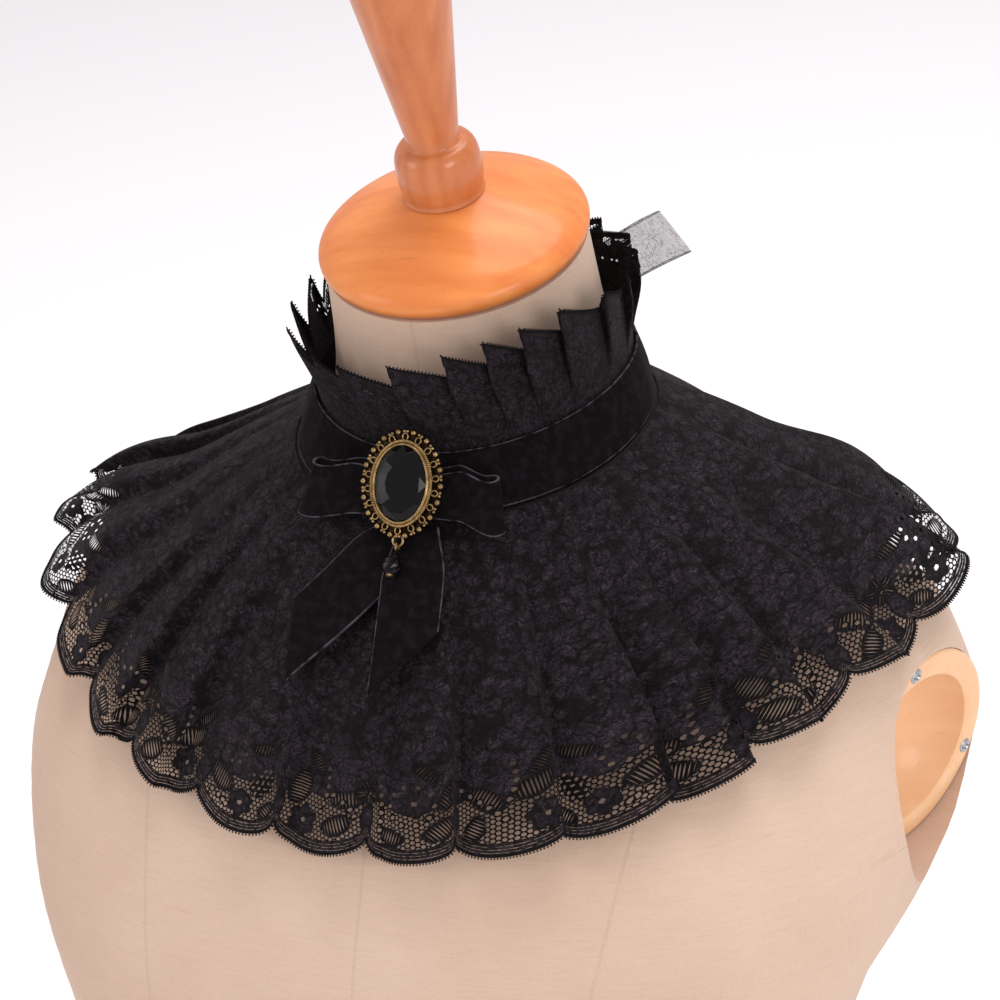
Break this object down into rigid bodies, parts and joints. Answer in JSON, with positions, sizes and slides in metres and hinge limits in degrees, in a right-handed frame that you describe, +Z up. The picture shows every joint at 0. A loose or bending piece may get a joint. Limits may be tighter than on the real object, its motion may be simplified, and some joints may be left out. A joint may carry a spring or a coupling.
{
  "type": "lace collar on a dress form",
  "caption": "Pleated black lace collar with a standing frill, velvet bow and oval brooch, tied at the back, resting on a limbless linen dress form with a turned wooden finial.",
  "frame": {"origin": "centre of the form's flat base, between its left and right sides", "axes": "+Z up the form, -Y out of its front (the bow and brooch), +X to the form's left shoulder"},
  "size_m": [0.3908, 0.3073, 0.7066],
  "materials": {
    "linen": "natural linen cover, plain weave",
    "varnished_wood": "turned wood, orange-brown gloss varnish",
    "pale_wood": "turned wood, thin varnish",
    "black_lace": "black machine-made floral lace, pleated",
    "black_underlayer": "plain black cotton, matt",
    "black_velvet": "black velvet ribbon with a fine woven edge",
    "grey_organza": "sheer grey organza ribbon",
    "antique_brass": "antiqued cast brass filigree",
    "black_stone": "faceted black glass, polished"
  },
  "bodies": {
    "form_and_collar": {"torso": "linen", "neck_cap": "varnished_wood", "finial": "varnished_wood", "socket_left": "pale_wood", "socket_right": "pale_wood", "underlayer": "black_underlayer", "flounce": "black_lace", "frill": "black_lace", "velvet_band": "black_velvet", "bow_loop_left": "black_velvet", "bow_loop_right": "black_velvet", "bow_knot": "black_velvet", "bow_tail_left": "black_velvet", "bow_tail_right": "black_velvet", "brooch_setting": "antique_brass", "brooch_stone": "black_stone", "tie_knot": "grey_organza", "tie_loop_left": "grey_organza", "tie_loop_right": "grey_organza", "tie_tail_left": "grey_organza", "tie_tail_right": "grey_organza"},
    "drop": {"drop_link": "antique_brass", "drop_bead": "black_stone"}
  },
  "joints": [
    {"name": "drop_swing", "type": "hinge", "parent": "form_and_collar", "child": "drop", "pos_m": [0, -0.08499, 0.42661], "axis": [-1, 0, 0], "range_deg": [0, 60]}
  ]
}
